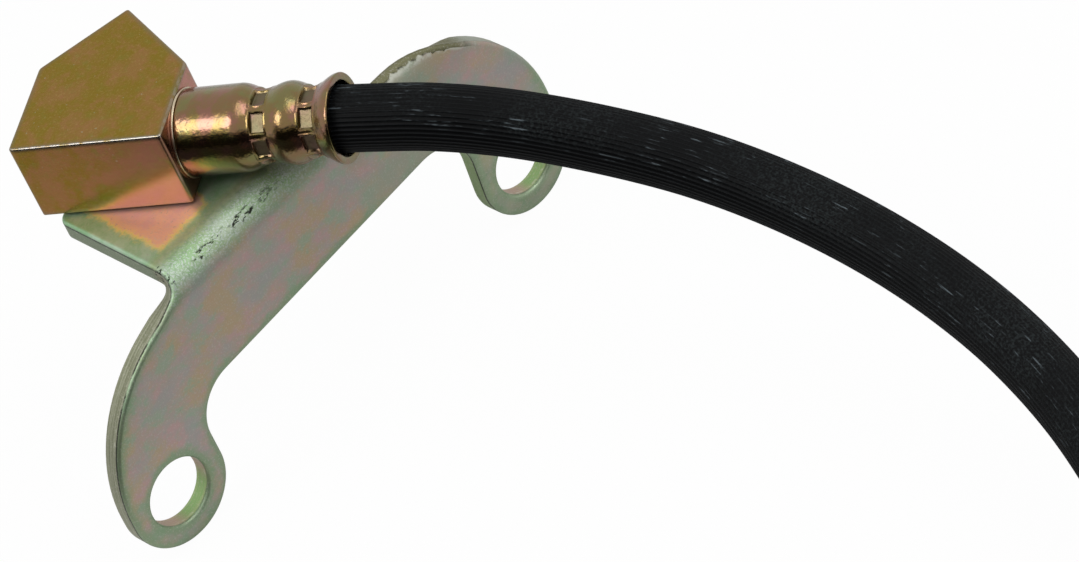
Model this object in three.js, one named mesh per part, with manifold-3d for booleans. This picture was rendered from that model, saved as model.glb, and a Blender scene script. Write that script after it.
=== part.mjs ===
// Brake hose: a drilled junction block brazed to the tab of a stamped two-bolt
// bracket, a crimped shell, the rubber hose, and a hex end with a second shell.
// Millimetres, +Z up. The bracket stands on the round tips of its two ears.

import * as THREE from 'three';
import { mergeVertices } from 'three/addons/utils/BufferGeometryUtils.js';
import Module from 'manifold-3d';

const wasm = await Module();
wasm.setup();

// Gap left between pieces that touch on the real hose
const SEAT_GAP = 0.3;

// Bracket: one sheet, folded once. Its plate stands upright and its tab lies on top.
const SHEET = 3.2;
const BEND_INSIDE_RADIUS = 1.8;
const BEND_SLICES = 8;
const BOLT_SPACING = 78;
const BOLT_HOLE_RADIUS = 5.65;
const EAR_RADIUS = 9.2;
const EAR_DROP = 27.4; // bolt centres below the fold line
const EAR_TAPER = 1.6; // how far the right ear's inner side leans in over its height
const LEFT_SHOULDER_RADIUS = 26.6;
const LEFT_SHOULDER_DROP = 7.4;
const RIGHT_SHOULDER_RADIUS = 24;
const RIGHT_SHOULDER_RISE = 3.9;
const LEFT_SHOULDER_TOP = 2; // where each shoulder runs out under the tab
const RIGHT_SHOULDER_TOP = 3.6;
const WAIST_LEFT = 16; // depth of the plate between its ears, at each end
const WAIST_RIGHT = 12.3;
const WAIST_FILLET = 7.6;
const TAB_WIDTH = 30;
const TAB_DEPTH = 23.7; // from the end of the fold to the tab's far edge
const TAB_FROM_LEFT_BOLT = 15.4;
const TAB_CORNER = 2.5;
const TAB_FILLET = 3;
const ARC_SEGMENTS = 14;

// Junction block: a bar with five sides, its front corner cut to a right angle
const BLOCK_LENGTH = 25.4;
const BLOCK_THICKNESS = 14.2;
const BLOCK_SIDE = 15.8; // height of the side that the hose leaves
const ROOF_RUN = 13.65; // from that side to the peak, along the hose's axis
const BLOCK_EDGE = 0.3;
const BLOCK_SHOULDER_RADIUS = 1.2; // where the roof meets the two sides
const BLOCK_CORNER_RADIUS = 0.5; // and at the other corners
const BLOCK_ARC_SEGMENTS = 3;
const HOSE_ANGLE = 58; // between the hose's axis and the plate, in degrees
const OUTLET_FROM_TAB_SIDE = 19.5; // centre of the outlet side, from the tab's left edge
const OUTLET_FROM_PLATE = 13.3; // and from the plate's front face

// Tube ports: tapped holes with an inverted flare seat
const PORT_RADIUS = 4.35;
const PORT_DEPTH = 7.6;
const PORT_CHAMFER = 0.6;
const SEAT_HEIGHT = 1.6;
const SEAT_RADIUS = 2.1;
const SEAT_GROOVE = 0.4;
const PASSAGE_RADIUS = 1.6;
const PASSAGE_LAP = 2; // how far two passages that meet run into each other
const BORE_FACETS = 28;
const LEFT_PORT_STEP = 6; // along each roof face, from its lower edge
const RIGHT_PORT_STEP = 6.5;

// Nipple: pressed into its fitting, with a collar that the shell bears on
const SHANK_RADIUS = 3.9;
const SHANK_DEPTH = 5;
const COLLAR_RIM = 0.55; // how far the collar stands out from the shell
const COLLAR_THICKNESS = 0.8;
const NECK_RADIUS = 2.8;
const NECK_END = 3.1;
const STEM_RADIUS = 2.2;
const STEM_STOP = 3; // how far the stem ends before the free hose
const NIPPLE_BORE = 1.4;
const BARB_COUNT = 4;
const BARB_RISE = 0.25;
const NIPPLE_FACETS = 24;

// Hose: outside and bore
const HOSE_RADIUS = 5.1;
const HOSE_BORE = 1.6;
const HOSE_SIDES = 12;
const BORE_SIDES = 8;
const HOSE_STEPS = 15; // along each stretch between two points of the route

// Shell: a cup crimped twice onto the hose, with a flared mouth
const SHELL_WALL = 1.15;
const SHELL_CLEARANCE = 0.5; // between the hose and the straight part of the cup
const MOUTH_CLEARANCE = 0.7;
const SHELL_LENGTH = 25.6; // from the fitting's face to the mouth
const SHELL_CORNER = 0.8;
const SHELL_LIP = 0.35;
const CRIMP_FROM_MOUTH = 4.2;
const CRIMP_SPACING = 7.9;
const CRIMP_REACH = 4.2; // from the first waist to where the wall runs straight
const FIRST_CRIMP_DEPTH = 1.2;
const SECOND_CRIMP_DEPTH = 1.45;
const BULGE_DEPTH = 0.35;
const JAW_COUNT = 8;
const JAW_WIDTH = 2.9;
const JAW_LENGTH = 2.1;
const JAW_BITE = 0.4;
const JAW_PHASE = 132; // turns one jaw mark to the front, in degrees
const SHELL_FACETS = 32;
const SHELL_STEPS = 16; // along the crimped part

// The end of the hose that a shell grips
const HOSE_START = 1; // how far inside the mouth the free hose starts
const GRIP_LAP = 1.2; // how far the gripped end runs into the free hose
const GRIP_LAP_DEPTH = 0.6; // and how far below its surface
const GRIP_STEPS = 20;
const GRIP_FACETS = 16;

// Hex end: hexagon, neck with a clip groove, and one tube port
const HEX_ACROSS = 16;
const HEX_LENGTH = 9;
const HEX_CHAMFER = 0.9;
const HEX_CHAMFER_LENGTH = 0.54;
const HEX_FACETS = 36;
const NECK_OUTER = 6.3;
const NECK_LENGTH = 13;
const CLIP_GROOVE_OFFSET = 2.4;
const CLIP_GROOVE_WIDTH = 2.2;
const CLIP_GROOVE_DEPTH = 0.9;
const NECK_CHAMFER = 0.7;
const NECK_LAP = 1; // how far the neck runs into the hexagon
const NECK_FACETS = 32;

// Hose centre line, from inside one shell's mouth to inside the other's
const ROUTE = [
  [8.9, -21.6, 49],
  [12.3, -27, 48.5],
  [16.8, -33.5, 47.3],
  [23.1, -43.3, 44.4],
  [29.5, -55, 40.2],
  [35.1, -68.1, 35.6],
  [38.7, -82, 31.2],
  [40.3, -96.3, 27.3],
  [39.9, -110.9, 23.9],
  [37.5, -125.4, 21],
  [32.8, -140.7, 17.7],
  [25.4, -156, 14.1],
  [15.7, -170, 10.7],
  [4.1, -182.3, 7.8],
  [-9.3, -192.8, 5.9],
  [-24.1, -201.1, 5.3],
  [-40, -207, 5.7],
  [-56.7, -210.5, 6.6],
  [-73.6, -211.4, 7.5],
  [-92.6, -211.4, 8],
  [-111.6, -211.4, 8],
];

// Closed mesh to solid: shared corners are merged and empty faces dropped
function solidOf(geometry) {
  const bare = geometry.clone();
  for (const name of Object.keys(bare.attributes)) {
    if (name !== 'position') bare.deleteAttribute(name);
  }
  const merged = mergeVertices(bare, 1e-4);
  const corners = merged.getIndex().array;
  const faces = [];
  for (let i = 0; i < corners.length; i += 3) {
    const [a, b, c] = [corners[i], corners[i + 1], corners[i + 2]];
    if (a !== b && b !== c && c !== a) faces.push(a, b, c);
  }
  return new wasm.Manifold(new wasm.Mesh({
    numProp: 3,
    vertProperties: new Float32Array(merged.getAttribute('position').array),
    triVerts: new Uint32Array(faces),
  }));
}

// Solid back to a mesh geometry
function geometryOf(solid) {
  const mesh = solid.getMesh();
  const geometry = new THREE.BufferGeometry();
  geometry.setAttribute('position', new THREE.BufferAttribute(new Float32Array(mesh.vertProperties), 3));
  geometry.setIndex(new THREE.BufferAttribute(new Uint32Array(mesh.triVerts), 1));
  geometry.computeVertexNormals();
  return geometry;
}

// Outline with each corner [x, y, radius] rounded by an arc tangent to both its sides.
// Where two neighbouring arcs need more than the side between them, they share it.
function roundedOutline(corners) {
  const points = corners.map(([x, y]) => new THREE.Vector2(x, y));
  const toward = (from, to) => points.at(to % points.length).clone().sub(points[from]).normalize();
  const halfAngle = (i) => Math.acos(toward(i, i - 1).dot(toward(i, i + 1))) / 2;
  const reach = corners.map(([, , radius], i) => radius / Math.tan(halfAngle(i)));
  const share = (i, j) => points[i].distanceTo(points.at(j)) / (reach[i] + reach.at(j));
  const shape = new THREE.Shape();
  corners.forEach(([, , wanted], i) => {
    const next = (i + 1) % corners.length;
    const radius = wanted * Math.min(1, share(i, i - 1), share(i, next));
    const before = toward(i, i - 1);
    const after = toward(i, i + 1);
    const half = halfAngle(i);
    const bisector = before.clone().add(after).normalize();
    const middle = bisector.multiplyScalar(radius / Math.sin(half)).add(points[i]);
    const start = before.multiplyScalar(radius / Math.tan(half)).add(points[i]).sub(middle);
    const end = after.multiplyScalar(radius / Math.tan(half)).add(points[i]).sub(middle);
    const clockwise = start.cross(end) < 0;
    shape.absarc(middle.x, middle.y, radius, start.angle(), end.angle(), clockwise);
  });
  shape.closePath();
  return shape;
}

// Solid of revolution about the local X axis, from [station, radius] points
function revolve(profile, facets) {
  const points = profile.map(([station, radius]) => new THREE.Vector2(radius, station));
  if (THREE.ShapeUtils.isClockWise(points)) points.reverse();
  return solidOf(new THREE.LatheGeometry(points, facets).rotateZ(-Math.PI / 2));
}

// Box between two corners
function boxBetween(low, high) {
  const size = new THREE.Vector3().subVectors(high, low);
  const centre = new THREE.Vector3().addVectors(low, high).multiplyScalar(0.5);
  return solidOf(new THREE.BoxGeometry(...size).translate(...centre));
}

// Solid turned and moved by a matrix
function placed(solid, matrix) {
  return solid.transform(matrix.elements);
}

// Bracket

const bendOutside = SHEET + BEND_INSIDE_RADIUS;
const bendLength = (Math.PI / 2) * (BEND_INSIDE_RADIUS + SHEET / 2);
const boltX = BOLT_SPACING / 2;
const earTip = -EAR_DROP - EAR_RADIUS;
const tabLeft = -boltX + TAB_FROM_LEFT_BOLT;

// The flat blank, before folding: x along the fold, y up from the fold line
function bracketBlank() {
  const outer = boltX + EAR_RADIUS;
  const inner = boltX - EAR_RADIUS;
  const tabRight = tabLeft + TAB_WIDTH;
  const tabTop = bendLength + TAB_DEPTH;
  const lean = Math.atan2(EAR_TAPER, -earTip - WAIST_RIGHT);
  const blank = roundedOutline([
    [tabLeft, tabTop, TAB_CORNER],
    [tabLeft, LEFT_SHOULDER_TOP, TAB_FILLET],
    [-outer, -LEFT_SHOULDER_DROP, LEFT_SHOULDER_RADIUS],
    [-outer, earTip, EAR_RADIUS],
    [-inner, earTip, EAR_RADIUS],
    [-inner, -WAIST_LEFT, WAIST_FILLET],
    [inner + EAR_TAPER, -WAIST_RIGHT, WAIST_FILLET],
    [inner, earTip, EAR_RADIUS * Math.tan(Math.PI / 4 - lean / 2)],
    [outer, earTip, EAR_RADIUS],
    [outer, RIGHT_SHOULDER_RISE, RIGHT_SHOULDER_RADIUS],
    [tabRight, RIGHT_SHOULDER_TOP, TAB_FILLET],
    [tabRight, tabTop, TAB_CORNER],
  ]);
  for (const x of [-boltX, boltX]) {
    blank.holes.push(new THREE.Path().absarc(x, -EAR_DROP, BOLT_HOLE_RADIUS, 0, 2 * Math.PI, true));
  }
  const settings = { depth: SHEET, bevelEnabled: false, curveSegments: ARC_SEGMENTS };
  return solidOf(new THREE.ExtrudeGeometry(blank, settings));
}

// Where a point of the blank lies once the sheet is folded back by a right angle
function folded(x, rise, depth) {
  const angle = THREE.MathUtils.clamp(rise / bendLength, 0, 1) * (Math.PI / 2);
  const radius = bendOutside - depth;
  const along = Math.max(rise - bendLength, 0);
  const below = Math.min(rise, 0);
  const y = bendOutside - radius * Math.cos(angle) + along;
  const z = -bendOutside + radius * Math.sin(angle) + below;
  return [x, y, z];
}

// The blank with a seam wherever two facets of the fold meet. Each strip is marked as an
// original of its own, so that its seams stay when the strips are joined again.
function seamedBlank() {
  let rest = bracketBlank();
  let seamed = null;
  for (let i = BEND_SLICES; i >= 0; i -= 1) {
    const [strip, below] = rest.splitByPlane([0, 1, 0], (bendLength * i) / BEND_SLICES);
    seamed = seamed === null ? strip.asOriginal() : seamed.add(strip.asOriginal());
    rest = below;
  }
  return seamed.add(rest.asOriginal());
}

function foldedBracket() {
  return seamedBlank().warp((corner) => {
    const [x, y, z] = folded(corner[0], corner[1], SHEET - corner[2]);
    corner[0] = x;
    corner[1] = y;
    corner[2] = z;
  });
}

// Fittings, each drawn with its outlet face at x = 0 and the hose leaving along +X

// Tube port cut along -X from a face at x = 0, with its seat and a drilled passage behind
function portCutter(passageLength) {
  const seatTop = -PORT_DEPTH + SEAT_HEIGHT;
  const outside = PORT_CHAMFER;
  return revolve([
    [outside, 0],
    [-PORT_DEPTH - passageLength, 0],
    [-PORT_DEPTH - passageLength, PASSAGE_RADIUS],
    [seatTop, PASSAGE_RADIUS],
    [seatTop, SEAT_RADIUS],
    [-PORT_DEPTH, PORT_RADIUS - SEAT_GROOVE],
    [-PORT_DEPTH, PORT_RADIUS],
    [-PORT_CHAMFER, PORT_RADIUS],
    [outside, PORT_RADIUS + 2 * PORT_CHAMFER],
    [outside, 0],
  ], BORE_FACETS);
}

// Socket for the nipple's shank, and the drilled way on from it
function nippleCutter(passageEnd) {
  const socket = SHANK_RADIUS + SEAT_GAP;
  const outside = SEAT_GAP;
  return revolve([
    [outside, 0],
    [outside, socket],
    [-SHANK_DEPTH, socket],
    [-SHANK_DEPTH, PASSAGE_RADIUS],
    [-passageEnd, PASSAGE_RADIUS],
    [-passageEnd, 0],
    [outside, 0],
  ], BORE_FACETS);
}

function junctionBlock() {
  const half = BLOCK_SIDE / 2;
  const farSide = BLOCK_LENGTH - ROOF_RUN;
  const peak = half + ROOF_RUN;
  const outline = roundedOutline([
    [0, -half, BLOCK_CORNER_RADIUS],
    [0, half, BLOCK_SHOULDER_RADIUS],
    [-ROOF_RUN, peak, BLOCK_CORNER_RADIUS],
    [-BLOCK_LENGTH, peak - farSide, BLOCK_SHOULDER_RADIUS],
    [-BLOCK_LENGTH, -half, BLOCK_CORNER_RADIUS],
  ]);
  const block = solidOf(new THREE.ExtrudeGeometry(outline, {
    curveSegments: BLOCK_ARC_SEGMENTS,
    depth: BLOCK_THICKNESS - 2 * BLOCK_EDGE,
    bevelThickness: BLOCK_EDGE,
    bevelSize: BLOCK_EDGE,
    bevelOffset: -BLOCK_EDGE,
    bevelSegments: 1,
  }).translate(0, 0, BLOCK_EDGE - BLOCK_THICKNESS / 2));

  // Both ports are drilled square to the roof. The right one runs on to the hose's passage,
  // and the left one through the right one's.
  const leftStep = LEFT_PORT_STEP * Math.SQRT1_2;
  const rightStep = RIGHT_PORT_STEP * Math.SQRT1_2;
  const left = new THREE.Vector3(-BLOCK_LENGTH + leftStep, peak - farSide + leftStep, 0);
  const right = new THREE.Vector3(-rightStep, half + rightStep, 0);
  const leftPort = placed(
    portCutter(ROOF_RUN * Math.SQRT2 - RIGHT_PORT_STEP - PORT_DEPTH + PASSAGE_LAP),
    new THREE.Matrix4().makeRotationZ((3 * Math.PI) / 4).setPosition(left),
  );
  const rightPort = placed(
    portCutter(right.y * Math.SQRT2 - PORT_DEPTH),
    new THREE.Matrix4().makeRotationZ(Math.PI / 4).setPosition(right),
  );
  const rightPassageEnd = right.y - right.x;
  return block
    .subtract(nippleCutter(rightPassageEnd))
    .subtract(leftPort)
    .subtract(rightPort);
}

// Stations and radii that the nipple, the shell and the hose share
const shellBase = 2 * SEAT_GAP + COLLAR_THICKNESS;
const shellOutside = HOSE_RADIUS + SHELL_CLEARANCE + SHELL_WALL;
const mouthOutside = HOSE_RADIUS + MOUTH_CLEARANCE + SHELL_WALL;
const secondCrimp = SHELL_LENGTH - CRIMP_FROM_MOUTH;
const firstCrimp = secondCrimp - CRIMP_SPACING;
const crimpStart = firstCrimp - CRIMP_REACH;
const firstWaist = shellOutside - FIRST_CRIMP_DEPTH;
const secondWaist = shellOutside - SECOND_CRIMP_DEPTH;
const hoseStart = SHELL_LENGTH - HOSE_START;

function nipple() {
  const collarStart = SEAT_GAP;
  const collarEnd = collarStart + COLLAR_THICKNESS;
  const collarRadius = shellOutside + COLLAR_RIM;
  const stemEnd = hoseStart - STEM_STOP;
  const outside = [
    [-SHANK_DEPTH + SEAT_GAP, NIPPLE_BORE],
    [-SHANK_DEPTH + SEAT_GAP, SHANK_RADIUS],
    [collarStart, SHANK_RADIUS],
    [collarStart, collarRadius],
    [collarEnd, collarRadius],
    [collarEnd, NECK_RADIUS],
    [NECK_END, NECK_RADIUS],
    [NECK_END, STEM_RADIUS],
  ];
  const pitch = (stemEnd - NECK_END) / (BARB_COUNT + 1);
  for (let i = 1; i <= BARB_COUNT; i += 1) {
    const station = NECK_END + i * pitch;
    outside.push([station - pitch / 4, STEM_RADIUS]);
    outside.push([station - pitch / 4, STEM_RADIUS + BARB_RISE]);
    outside.push([station + pitch / 4, STEM_RADIUS]);
  }
  outside.push([stemEnd, STEM_RADIUS], [stemEnd, NIPPLE_BORE], outside[0]);
  return revolve(outside, NIPPLE_FACETS);
}

// Outside radius of the shell along its length: straight cup, two waists, a bulge, a flare
function shellRadius(station) {
  const blend = (from, to, t) => from + (to - from) * (0.5 - 0.5 * Math.cos(Math.PI * t));
  const middle = (firstCrimp + secondCrimp) / 2;
  const bulge = shellOutside - BULGE_DEPTH;
  if (station <= crimpStart) return shellOutside;
  if (station <= firstCrimp) {
    return blend(shellOutside, firstWaist, (station - crimpStart) / (firstCrimp - crimpStart));
  }
  if (station <= middle) {
    return blend(firstWaist, bulge, (station - firstCrimp) / (middle - firstCrimp));
  }
  if (station <= secondCrimp) {
    return blend(bulge, secondWaist, (station - middle) / (secondCrimp - middle));
  }
  return blend(secondWaist, mouthOutside, (station - secondCrimp) / (SHELL_LENGTH - secondCrimp));
}

// Evenly spaced stations, with the end ones exact
function stations(from, to, count) {
  return Array.from({ length: count + 1 }, (_, i) => from + ((to - from) * i) / count);
}

function shell() {
  const outside = stations(crimpStart, SHELL_LENGTH, SHELL_STEPS).map((s) => [s, shellRadius(s)]);
  const inside = outside.map(([s, radius]) => [s, radius - SHELL_WALL]).reverse();
  outside.at(-1)[0] -= SHELL_LIP;
  const floor = shellBase + SHELL_WALL;
  const hole = NECK_RADIUS + SEAT_GAP;
  const profile = [
    [shellBase, hole],
    [shellBase, shellOutside - SHELL_CORNER],
    [shellBase + 0.25 * SHELL_CORNER, shellOutside - 0.25 * SHELL_CORNER],
    [shellBase + SHELL_CORNER, shellOutside],
    ...outside,
    [SHELL_LENGTH, mouthOutside - SHELL_LIP],
    ...inside,
    [floor, shellOutside - SHELL_WALL],
    [floor, hole],
    [shellBase, hole],
  ];
  let cup = revolve(profile, SHELL_FACETS);
  for (const [station, waist] of [[firstCrimp, firstWaist], [secondCrimp, secondWaist]]) {
    for (let i = 0; i < JAW_COUNT; i += 1) {
      const turn = THREE.MathUtils.degToRad(JAW_PHASE + (360 * i) / JAW_COUNT);
      const jaw = boxBetween(
        new THREE.Vector3(station - JAW_LENGTH / 2, waist - JAW_BITE, -JAW_WIDTH / 2),
        new THREE.Vector3(station + JAW_LENGTH / 2, waist + JAW_BITE, JAW_WIDTH / 2),
      );
      cup = cup.subtract(placed(jaw, new THREE.Matrix4().makeRotationX(turn)));
    }
  }
  return cup;
}

function hexEnd() {
  const half = HEX_ACROSS / 2;
  const corner = half / Math.cos(Math.PI / 6);
  const outline = new THREE.Shape();
  for (let i = 0; i < 6; i += 1) {
    const angle = (Math.PI / 3) * i;
    outline.lineTo(corner * Math.cos(angle), corner * Math.sin(angle));
  }
  outline.closePath();
  const settings = { depth: HEX_LENGTH, bevelEnabled: false };
  const bar = new THREE.ExtrudeGeometry(outline, settings);
  const hexagon = solidOf(bar.rotateX(Math.PI / 2).rotateZ(-Math.PI / 2));
  const turned = revolve([
    [0, 0],
    [0, corner - HEX_CHAMFER],
    [-HEX_CHAMFER_LENGTH, corner],
    [-HEX_LENGTH + HEX_CHAMFER_LENGTH, corner],
    [-HEX_LENGTH, corner - HEX_CHAMFER],
    [-HEX_LENGTH, 0],
    [0, 0],
  ], HEX_FACETS);
  const grooveStart = -HEX_LENGTH - CLIP_GROOVE_OFFSET;
  const grooveEnd = grooveStart - CLIP_GROOVE_WIDTH;
  const end = -HEX_LENGTH - NECK_LENGTH;
  const neck = revolve([
    [-HEX_LENGTH + NECK_LAP, 0],
    [-HEX_LENGTH + NECK_LAP, NECK_OUTER],
    [grooveStart, NECK_OUTER],
    [grooveStart, NECK_OUTER - CLIP_GROOVE_DEPTH],
    [grooveEnd, NECK_OUTER - CLIP_GROOVE_DEPTH],
    [grooveEnd, NECK_OUTER],
    [end + NECK_CHAMFER, NECK_OUTER],
    [end, NECK_OUTER - NECK_CHAMFER],
    [end, 0],
    [-HEX_LENGTH + NECK_LAP, 0],
  ], NECK_FACETS);
  const port = placed(
    portCutter(PASSAGE_LAP),
    new THREE.Matrix4().makeRotationY(Math.PI).setPosition(end, 0, 0),
  );
  return hexagon
    .intersect(turned)
    .add(neck)
    .subtract(nippleCutter(-end - PORT_DEPTH))
    .subtract(port);
}

// Hose

// The end that a shell grips: it follows the inside of the crimps around the stem
function grippedEnd() {
  const bore = STEM_RADIUS + BARB_RISE + SEAT_GAP;
  const start = shellBase + SHELL_WALL + 2 * SEAT_GAP;
  const outside = stations(start, hoseStart, GRIP_STEPS).map((station) => {
    const room = shellRadius(station) - SHELL_WALL - SEAT_GAP;
    return [station, Math.min(room, HOSE_RADIUS)];
  });
  const lap = hoseStart + GRIP_LAP;
  const lapRadius = HOSE_RADIUS - GRIP_LAP_DEPTH;
  return revolve([
    [start, NECK_RADIUS + SEAT_GAP],
    ...outside,
    [hoseStart, lapRadius],
    [lap, lapRadius],
    [lap, bore],
    [NECK_END + SEAT_GAP, bore],
    [NECK_END + SEAT_GAP, NECK_RADIUS + SEAT_GAP],
    [start, NECK_RADIUS + SEAT_GAP],
  ], GRIP_FACETS);
}

function ring(radius, sides, Kind) {
  const path = new Kind();
  for (let i = 0; i < sides; i += 1) {
    const angle = (2 * Math.PI * (i + 0.5)) / sides;
    const [x, y] = [radius * Math.cos(angle), radius * Math.sin(angle)];
    if (i === 0) path.moveTo(x, y);
    else path.lineTo(x, y);
  }
  path.closePath();
  return path;
}

function freeHose(route) {
  const section = ring(HOSE_RADIUS, HOSE_SIDES, THREE.Shape);
  section.holes.push(ring(HOSE_BORE, BORE_SIDES, THREE.Path));
  const extrudePath = new THREE.CatmullRomCurve3(route, false, 'centripetal');
  return solidOf(new THREE.ExtrudeGeometry(section, { steps: HOSE_STEPS, extrudePath }));
}

// Assembly

const steel = (colour) => new THREE.MeshStandardMaterial({ color: colour, roughness: 0.38, metalness: 0.9 });
const rubber = new THREE.MeshStandardMaterial({ color: 0x15171a, roughness: 0.6, metalness: 0 });

function piece(name, solid, material) {
  const mesh = new THREE.Mesh(geometryOf(solid), material);
  mesh.name = name;
  return mesh;
}

const fixedEnd = new THREE.Group();
fixedEnd.position.set(tabLeft + OUTLET_FROM_TAB_SIDE, OUTLET_FROM_PLATE, SEAT_GAP + BLOCK_THICKNESS / 2);
fixedEnd.rotation.z = THREE.MathUtils.degToRad(-HOSE_ANGLE);
fixedEnd.add(
  piece('junction_block', junctionBlock(), steel(0x86703c)),
  piece('block_nipple', nipple(), steel(0xa08a62)),
  piece('block_shell', shell(), steel(0xa58c5c)),
);

// The bracket and what it carries are centred over the origin and stood on the ears
const mounted = new THREE.Group();
mounted.add(piece('mounting_bracket', foldedBracket(), steel(0x8b8c78)), fixedEnd);
mounted.updateMatrixWorld(true);
const extent = new THREE.Box3().setFromObject(mounted, true);
const middle = extent.getCenter(new THREE.Vector3());
mounted.position.set(-middle.x, -middle.y, -extent.min.z);
mounted.updateMatrixWorld(true);

// The hex end lies on a flat, square to the bracket, where the route stops
const route = ROUTE.map((point) => new THREE.Vector3(...point));
const looseEnd = new THREE.Group();
looseEnd.position.copy(route.at(-1)).add(new THREE.Vector3(-hoseStart, 0, 0));
looseEnd.add(
  piece('end_fitting', hexEnd(), steel(0x9a8550)),
  piece('end_nipple', nipple(), steel(0xa08a62)),
  piece('end_shell', shell(), steel(0xa58c5c)),
);
looseEnd.updateMatrixWorld(true);

const hose = freeHose(route)
  .add(placed(grippedEnd(), fixedEnd.matrixWorld))
  .add(placed(grippedEnd(), looseEnd.matrixWorld));

const brakeHose = new THREE.Group();
brakeHose.add(mounted, piece('hose', hose, rubber), looseEnd);

export default brakeHose;
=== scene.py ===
import math

import bmesh
import bpy
import numpy as np
from mathutils import Matrix
from mathutils.geometry import delaunay_2d_cdt


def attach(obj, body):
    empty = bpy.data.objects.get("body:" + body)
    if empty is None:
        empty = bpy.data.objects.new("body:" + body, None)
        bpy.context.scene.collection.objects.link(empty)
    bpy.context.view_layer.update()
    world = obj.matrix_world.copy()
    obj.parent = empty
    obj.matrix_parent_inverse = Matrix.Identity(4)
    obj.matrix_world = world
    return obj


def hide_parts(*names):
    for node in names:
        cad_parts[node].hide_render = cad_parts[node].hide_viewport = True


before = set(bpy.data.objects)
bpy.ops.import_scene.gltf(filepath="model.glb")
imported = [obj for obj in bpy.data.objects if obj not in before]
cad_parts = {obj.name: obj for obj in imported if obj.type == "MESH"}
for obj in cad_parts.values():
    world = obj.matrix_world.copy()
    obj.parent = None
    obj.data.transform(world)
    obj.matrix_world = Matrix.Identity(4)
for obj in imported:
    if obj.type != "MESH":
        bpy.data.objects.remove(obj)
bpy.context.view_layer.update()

# Camera. It stands in front of the bracket and to its left, looks down at it by 41 degrees, and is
# rolled so that the plate climbs to the right. A long lens keeps the far ear nearly as large as
# the near one.
AZIMUTH = math.radians(-28.754)
ELEVATION = math.radians(40.729)
ROLL = math.radians(-24.655)
DISTANCE = 0.836
LENS = 187.61
AIM = np.array([0.01251, -0.05054, 0.02392])

backward = np.array([
    math.sin(AZIMUTH) * math.cos(ELEVATION),
    -math.cos(AZIMUTH) * math.cos(ELEVATION),
    math.sin(ELEVATION),
])
level = np.array([math.cos(AZIMUTH), math.sin(AZIMUTH), 0.0])
rightward = math.cos(ROLL) * level + math.sin(ROLL) * np.cross(backward, level)
upward = np.cross(backward, rightward)
camera = bpy.data.objects.new("camera", bpy.data.cameras.new("camera"))
camera.data.lens = LENS
camera.data.sensor_fit = "HORIZONTAL"
camera.matrix_world = Matrix([
    [*column_values, place]
    for *column_values, place in zip(rightward, upward, backward, AIM + DISTANCE * backward)
] + [[0, 0, 0, 1]])
bpy.context.scene.collection.objects.link(camera)
bpy.context.scene.camera = camera


# Hose. Reinforced black rubber, extruded with fine ribs along its length and a little scuffed
# on its upper side. It leaves the first shell, arches down to the right, and comes back below
# the bracket to lie along the ground in its second shell.
HOSE_RADIUS = 0.0051
HOSE_RIBS = 46
RIB_HEIGHT = 0.00012
RIB_POINTS = 6
HOSE_INSET = 0.0009  # how far the hose runs on inside each shell's mouth
ROUTE_ROWS = 240
CURVE_POINTS = 60  # worked out between two points of the route
WELD = 1e-6
HOSE_ROUTE = np.array([  # metres, from the first shell's mouth round to the second's
    [0.0089, -0.0216, 0.049],
    [0.0123, -0.027, 0.0485],
    [0.0168, -0.0335, 0.0473],
    [0.0231, -0.0433, 0.0444],
    [0.0295, -0.055, 0.0402],
    [0.0351, -0.0681, 0.0356],
    [0.0387, -0.082, 0.0312],
    [0.0403, -0.0963, 0.0273],
    [0.0399, -0.1109, 0.0239],
    [0.0375, -0.1254, 0.021],
    [0.0328, -0.1407, 0.0177],
    [0.0254, -0.156, 0.0141],
    [0.0157, -0.17, 0.0107],
    [0.0041, -0.1823, 0.0078],
    [-0.0093, -0.1928, 0.0059],
    [-0.0241, -0.2011, 0.0053],
    [-0.04, -0.207, 0.0057],
    [-0.0567, -0.2105, 0.0066],
    [-0.0736, -0.2114, 0.0075],
    [-0.0926, -0.2114, 0.008],
    [-0.1116, -0.2114, 0.008],
])


def unit(vectors):
    """Each row divided by its own length."""
    return vectors / np.linalg.norm(vectors, axis=-1, keepdims=True)


def smooth_route(points, steps):
    """Centripetal Catmull-Rom curve through the points, at evenly spaced lengths.

    Each stretch is a cubic whose end slopes come from its neighbours, spaced by the square
    root of the distance between them.
    """
    run = np.vstack([2 * points[0] - points[1], points, 2 * points[-1] - points[-2]])
    gap = np.sqrt(np.linalg.norm(np.diff(run, axis=0), axis=1))[:, None]
    p0, p1, p2, p3 = run[:-3], run[1:-2], run[2:-1], run[3:]
    d0, d1, d2 = gap[:-2], gap[1:-1], gap[2:]
    slope1 = d1 * ((p1 - p0) / d0 - (p2 - p0) / (d0 + d1) + (p2 - p1) / d1)
    slope2 = d1 * ((p2 - p1) / d1 - (p3 - p1) / (d1 + d2) + (p3 - p2) / d2)
    t = np.linspace(0, 1, CURVE_POINTS, endpoint=False)[None, :, None]
    p1, p2, slope1, slope2 = (a[:, None, :] for a in (p1, p2, slope1, slope2))
    cubic = p1 + slope1 * t + (3 * p2 - 3 * p1 - 2 * slope1 - slope2) * t**2
    cubic = cubic + (2 * p1 - 2 * p2 + slope1 + slope2) * t**3
    dense = np.vstack([cubic.reshape(-1, 3), points[-1:]])
    length = np.concatenate([[0], np.cumsum(np.linalg.norm(np.diff(dense, axis=0), axis=1))])
    even = np.linspace(0, length[-1], steps)
    return np.stack([np.interp(even, length, dense[:, k]) for k in range(3)], axis=1), length[-1]


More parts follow.
